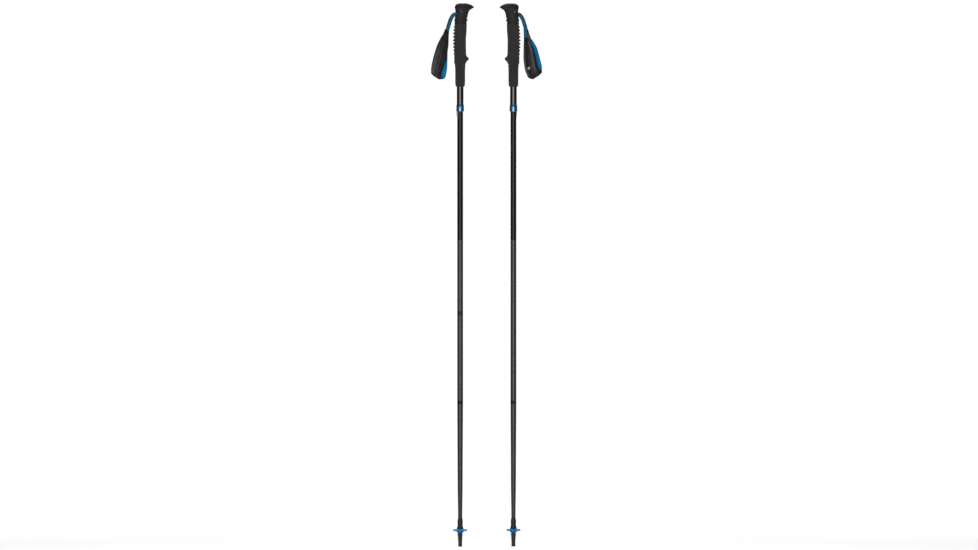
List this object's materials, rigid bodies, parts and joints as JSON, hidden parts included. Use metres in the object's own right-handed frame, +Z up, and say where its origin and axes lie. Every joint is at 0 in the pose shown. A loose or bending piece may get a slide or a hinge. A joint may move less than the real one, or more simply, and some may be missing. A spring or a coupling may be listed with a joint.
{
  "type": "trekking poles",
  "caption": "Pair of slim folding trekking poles with ribbed foam grips, padded wrist straps, blue lock collars and small blue baskets, standing upright on rubber tips.",
  "frame": {"origin": "on the ground, midway between the two tips", "axes": "+Z up along the poles, +X from the left pole to the right pole, -Y towards the viewer"},
  "size_m": [0.2754, 0.0322, 1.3],
  "materials": {
    "head_rubber": "matt moulded rubber with a fine grain",
    "grip_foam": "matt closed-cell foam",
    "extension_foam": "matt closed-cell foam",
    "pin_steel": "turned steel",
    "handle_tube": "gloss black anodised",
    "collar": "bright blue anodised",
    "bush_plastic": "moulded",
    "black_plastic": "moulded, fine texture",
    "cord": "braided",
    "webbing": "woven webbing",
    "wrist_band": "padded knit with a blue lining",
    "upper_shaft": "satin black anodised",
    "catch_steel": "satin steel",
    "spring_steel": "spring steel",
    "grey_shaft": "satin purple-grey anodised",
    "end_ring": "satin",
    "dark_ring": "moulded",
    "tip_rubber": "hard rubber",
    "basket_plastic": "moulded blue"
  },
  "bodies": {
    "left_handle": {"left_grip_head": "head_rubber", "left_strap_pin": "pin_steel", "left_strap_anchor_loop": "webbing", "left_grip_foam": "grip_foam", "left_grip_extension": "extension_foam", "left_handle_tube": "handle_tube", "left_lock_collar": "collar", "left_collar_bush": "bush_plastic", "left_cord_anchor": "black_plastic", "left_cord_upper": "cord"},
    "left_strap": {"left_strap_webbing": "webbing", "left_strap_band": "wrist_band"},
    "left_shaft_upper": {"left_upper_shaft": "upper_shaft", "left_stop_sleeve": "bush_plastic", "left_upper_socket": "black_plastic", "left_catch_pin": "pin_steel", "left_catch_spring": "spring_steel"},
    "left_catch": {"left_catch_button": "catch_steel"},
    "left_link_1": {"left_joint_cone_1": "black_plastic"},
    "left_shaft_middle": {"left_middle_shaft": "grey_shaft", "left_middle_top_ring": "end_ring", "left_middle_socket": "black_plastic", "left_cord_middle": "cord"},
    "left_link_2": {"left_joint_cone_2": "black_plastic"},
    "left_shaft_lower": {"left_lower_shaft": "grey_shaft", "left_lower_top_ring": "dark_ring", "left_cord_lower": "cord", "left_tip_ferrule": "black_plastic", "left_rubber_tip": "tip_rubber"},
    "left_basket": {"left_basket": "basket_plastic"},
    "right_handle": {"right_grip_head": "head_rubber", "right_strap_pin": "pin_steel", "right_strap_anchor_loop": "webbing", "right_grip_foam": "grip_foam", "right_grip_extension": "extension_foam", "right_handle_tube": "handle_tube", "right_lock_collar": "collar", "right_collar_bush": "bush_plastic", "right_cord_anchor": "black_plastic", "right_cord_upper": "cord"},
    "right_strap": {"right_strap_webbing": "webbing", "right_strap_band": "wrist_band"},
    "right_shaft_upper": {"right_upper_shaft": "upper_shaft", "right_stop_sleeve": "bush_plastic", "right_upper_socket": "black_plastic", "right_catch_pin": "pin_steel", "right_catch_spring": "spring_steel"},
    "right_catch": {"right_catch_button": "catch_steel"},
    "right_link_1": {"right_joint_cone_1": "black_plastic"},
    "right_shaft_middle": {"right_middle_shaft": "grey_shaft", "right_middle_top_ring": "end_ring", "right_middle_socket": "black_plastic", "right_cord_middle": "cord"},
    "right_link_2": {"right_joint_cone_2": "black_plastic"},
    "right_shaft_lower": {"right_lower_shaft": "grey_shaft", "right_lower_top_ring": "dark_ring", "right_cord_lower": "cord", "right_tip_ferrule": "black_plastic", "right_rubber_tip": "tip_rubber"},
    "right_basket": {"right_basket": "basket_plastic"}
  },
  "joints": [
    {"name": "left_strap_swing", "type": "hinge", "parent": "left_handle", "child": "left_strap", "pos_m": [-0.0805, 0, 1.2711], "axis": [0, 1, 0], "range_deg": [-4, 80]},
    {"name": "left_deploy", "type": "slide", "parent": "left_handle", "child": "left_shaft_upper", "axis": [0, 0, 1], "range_m": [0, 0.125], "deforming": ["left_cord_upper", "left_catch_button", "left_catch_spring"]},
    {"name": "left_catch_press", "type": "hinge", "parent": "left_shaft_upper", "child": "left_catch", "pos_m": [-0.0716, 0, 1.0235], "axis": [0, 1, 0], "range_deg": [0, 7.5]},
    {"name": "left_pull_1", "type": "slide", "parent": "left_shaft_upper", "child": "left_link_1", "axis": [0, 0, -1], "range_m": [0, 0.032], "stiffness_N_per_m": 600, "springref_m": -0.05},
    {"name": "left_fold_1", "type": "hinge", "parent": "left_link_1", "child": "left_shaft_middle", "pos_m": [-0.066, -0.0084, 0.732], "axis": [-1, 0, 0], "range_deg": [0, 177]},
    {"name": "left_pull_2", "type": "slide", "parent": "left_shaft_middle", "child": "left_link_2", "axis": [0, 0, -1], "range_m": [0, 0.032], "stiffness_N_per_m": 600, "springref_m": -0.05},
    {"name": "left_fold_2", "type": "hinge", "parent": "left_link_2", "child": "left_shaft_lower", "pos_m": [-0.066, 0.0084, 0.346], "axis": [1, 0, 0], "range_deg": [0, 177]},
    {"name": "left_basket_turn", "type": "hinge", "parent": "left_shaft_lower", "child": "left_basket", "pos_m": [-0.066, 0, 0.038], "axis": [0, 0, 1], "continuous": true},
    {"name": "right_pole_apart", "type": "slide", "parent": "left_handle", "child": "right_handle", "axis": [1, 0, 0], "range_m": [0, 0.15]},
    {"name": "right_strap_swing", "type": "hinge", "parent": "right_handle", "child": "right_strap", "pos_m": [0.0805, 0, 1.2711], "axis": [0, -1, 0], "range_deg": [-4, 80]},
    {"name": "right_deploy", "type": "slide", "parent": "right_handle", "child": "right_shaft_upper", "axis": [0, 0, 1], "range_m": [0, 0.125], "deforming": ["right_cord_upper", "right_catch_button", "right_catch_spring"]},
    {"name": "right_catch_press", "type": "hinge", "parent": "right_shaft_upper", "child": "right_catch", "pos_m": [0.0716, 0, 1.0235], "axis": [0, -1, 0], "range_deg": [0, 7.5]},
    {"name": "right_pull_1", "type": "slide", "parent": "right_shaft_upper", "child": "right_link_1", "axis": [0, 0, -1], "range_m": [0, 0.032], "stiffness_N_per_m": 600, "springref_m": -0.05},
    {"name": "right_fold_1", "type": "hinge", "parent": "right_link_1", "child": "right_shaft_middle", "pos_m": [0.066, 0.0084, 0.732], "axis": [1, 0, 0], "range_deg": [0, 177]},
    {"name": "right_pull_2", "type": "slide", "parent": "right_shaft_middle", "child": "right_link_2", "axis": [0, 0, -1], "range_m": [0, 0.032], "stiffness_N_per_m": 600, "springref_m": -0.05},
    {"name": "right_fold_2", "type": "hinge", "parent": "right_link_2", "child": "right_shaft_lower", "pos_m": [0.066, -0.0084, 0.346], "axis": [-1, 0, 0], "range_deg": [0, 177]},
    {"name": "right_basket_turn", "type": "hinge", "parent": "right_shaft_lower", "child": "right_basket", "pos_m": [0.066, 0, 0.038], "axis": [0, 0, 1], "continuous": true}
  ],
  "couplings": [
    {"joint": "left_catch_press", "follows": "left_deploy", "rad_per_m": 1.0471},
    {"joint": "right_catch_press", "follows": "right_deploy", "rad_per_m": 1.0471}
  ]
}
